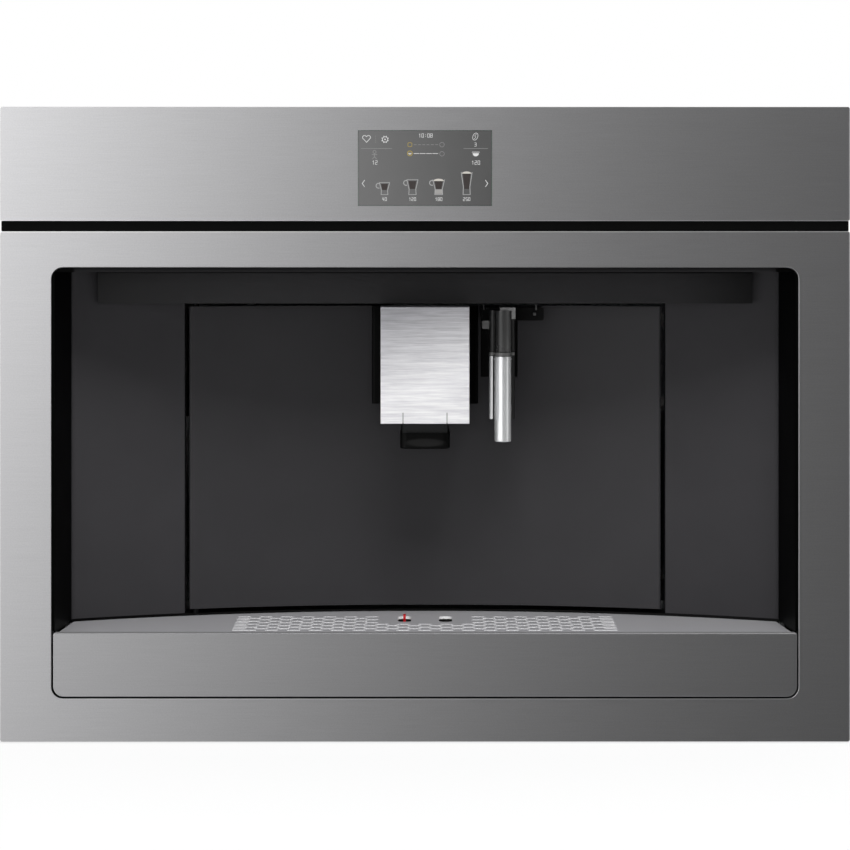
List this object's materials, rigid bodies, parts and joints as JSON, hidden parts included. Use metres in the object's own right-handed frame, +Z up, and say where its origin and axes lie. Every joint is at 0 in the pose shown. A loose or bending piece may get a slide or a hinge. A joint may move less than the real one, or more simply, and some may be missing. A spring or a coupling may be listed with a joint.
{
  "type": "built-in coffee machine",
  "caption": "Fully automatic coffee machine for a kitchen niche: steel front with display, lit recess with height-adjustable spout, hot water nozzle, service door and drip tray, on slides.",
  "frame": {"origin": "bottom centre of the bounding box, on the niche floor", "axes": "+X to the right seen from the user, +Y into the niche, +Z up"},
  "size_m": [0.596, 0.4, 0.4462],
  "materials": {
    "galvanised_sheet": "zinc-coated sheet",
    "rail_steel": "bright zinc",
    "bumper_rubber": "matt",
    "screw_steel": "bright",
    "brushed_fascia": "brushed across",
    "brushed_frame": "brushed across",
    "brushed_tray": "brushed across",
    "brushed_spout": "brushed across",
    "shelf_steel": "satin",
    "black_moulding": "fine grain",
    "gloss_black": "polished",
    "recess_plastic": "satin",
    "door_plastic": "satin",
    "grey_moulding": "satin",
    "display_glass": "clear hard coat over the picture",
    "circuit_board": "solder mask",
    "lamp_lens": "frosted",
    "grinder_cast": "cast",
    "motor_steel": "zinc",
    "smoked_plastic": "tinted",
    "boiler_aluminium": "cast",
    "valve_brass": "machined",
    "hose_silicone": "silicone",
    "nozzle_chrome": "polished",
    "float_red": "moulded",
    "tank_clear": "clear",
    "burr_steel": "hardened"
  },
  "bodies": {
    "mounting": {"mounting_base": "galvanised_sheet", "outer_rails": "rail_steel"},
    "slide_members": {"middle_rails": "rail_steel"},
    "machine": {"inner_rails": "rail_steel", "chassis_base": "galvanised_sheet", "chassis_side_left": "galvanised_sheet", "chassis_side_right": "galvanised_sheet", "service_deck": "galvanised_sheet", "top_deck": "galvanised_sheet", "rear_panel": "galvanised_sheet", "rear_bumpers": "bumper_rubber", "housing_screws": "screw_steel", "control_fascia": "brushed_fascia", "front_frame": "brushed_frame", "front_carrier": "black_moulding", "display_glass": "display_glass", "display_module": "circuit_board", "recess_liner": "recess_plastic", "header_beam": "gloss_black", "lamp_lenses": "lamp_lens", "door_sill": "black_moulding", "grinder_housing": "grinder_cast", "grinder_motor": "motor_steel", "bean_hopper": "smoked_plastic", "coffee_chute": "black_moulding", "brew_frame": "black_moulding", "brew_chamber": "grey_moulding", "brew_motor": "motor_steel", "grounds_container": "grey_moulding", "tank_cradle": "galvanised_sheet", "boiler": "boiler_aluminium", "pump": "motor_steel", "valve_block": "valve_brass", "water_hoses": "hose_silicone", "power_board": "circuit_board", "mains_inlet": "black_moulding"},
    "service_door": {"service_door": "door_plastic", "door_back": "black_moulding", "hinge_pins": "screw_steel", "nozzle_dock": "black_moulding", "spout_guide": "gloss_black"},
    "spout": {"spout_cover": "brushed_spout", "spout_carriage": "black_moulding", "spout_outlet": "gloss_black"},
    "nozzle": {"nozzle_grip": "black_moulding", "nozzle_sleeve": "nozzle_chrome", "nozzle_clip": "grey_moulding"},
    "release_button": {"release_button": "grey_moulding"},
    "drip_tray": {"tray_front": "brushed_tray", "drip_basin": "black_moulding", "cup_shelf": "shelf_steel"},
    "tray_float": {"tray_float": "float_red"},
    "water_tank": {"water_tank": "tank_clear", "tank_cover": "grey_moulding"},
    "bean_lid": {"bean_lid": "smoked_plastic"},
    "funnel_lid": {"funnel_lid": "black_moulding"},
    "grind_knob": {"grind_knob": "black_moulding"},
    "grinder_burr": {"grinder_burr": "burr_steel"},
    "brew_piston": {"brew_piston": "grey_moulding"},
    "rocker_switch": {"rocker_switch": "gloss_black"}
  },
  "joints": [
    {"name": "machine_slide", "type": "slide", "parent": "mounting", "child": "machine", "axis": [0, -1, 0], "range_m": [0, 0.3]},
    {"name": "rail_follow", "type": "slide", "parent": "mounting", "child": "slide_members", "axis": [0, -1, 0], "range_m": [0, 0.15]},
    {"name": "door_swing", "type": "hinge", "parent": "machine", "child": "service_door", "pos_m": [-0.1685, -0.10148, 0.19], "axis": [0, 0, -1], "range_deg": [0, 95]},
    {"name": "spout_height", "type": "slide", "parent": "service_door", "child": "spout", "axis": [0, 0, -1], "range_m": [0, 0.055]},
    {"name": "nozzle_pull", "type": "slide", "parent": "service_door", "child": "nozzle", "axis": [0, -1, 0], "range_m": [0, 0.06]},
    {"name": "button_press", "type": "slide", "parent": "nozzle", "child": "release_button", "axis": [1, 0, 0], "range_m": [0, 0.002], "stiffness_N_per_m": 400},
    {"name": "tray_slide", "type": "slide", "parent": "machine", "child": "drip_tray", "axis": [0, -1, 0], "range_m": [0, 0.2]},
    {"name": "float_rise", "type": "slide", "parent": "drip_tray", "child": "tray_float", "axis": [0, 0, 1], "range_m": [0, 0.008]},
    {"name": "tank_lift", "type": "slide", "parent": "machine", "child": "water_tank", "axis": [0, 0, 1], "range_m": [0, 0.125]},
    {"name": "bean_lid_hinge", "type": "hinge", "parent": "machine", "child": "bean_lid", "pos_m": [-0.184, 0.1208, 0.4437], "axis": [-1, 0, 0], "range_deg": [0, 80]},
    {"name": "funnel_lid_hinge", "type": "hinge", "parent": "machine", "child": "funnel_lid", "pos_m": [-0.042, 0.0238, 0.4437], "axis": [-1, 0, 0], "range_deg": [0, 80]},
    {"name": "grind_setting", "type": "hinge", "parent": "machine", "child": "grind_knob", "pos_m": [-0.086, 0.062, 0.43], "axis": [0, 0, 1], "range_deg": [0, 270]},
    {"name": "burr_spin", "type": "hinge", "parent": "machine", "child": "grinder_burr", "pos_m": [-0.172, 0.036, 0.33], "axis": [0, 0, 1], "continuous": true},
    {"name": "piston_press", "type": "slide", "parent": "machine", "child": "brew_piston", "axis": [0, 0, -1], "range_m": [0, 0.04]},
    {"name": "rocker_tip", "type": "hinge", "parent": "machine", "child": "rocker_switch", "pos_m": [-0.198, 0.1845, 0.056], "axis": [1, 0, 0], "range_deg": [-8, 8]}
  ],
  "couplings": [
    {"joint": "rail_follow", "follows": "machine_slide", "ratio": 0.5}
  ]
}
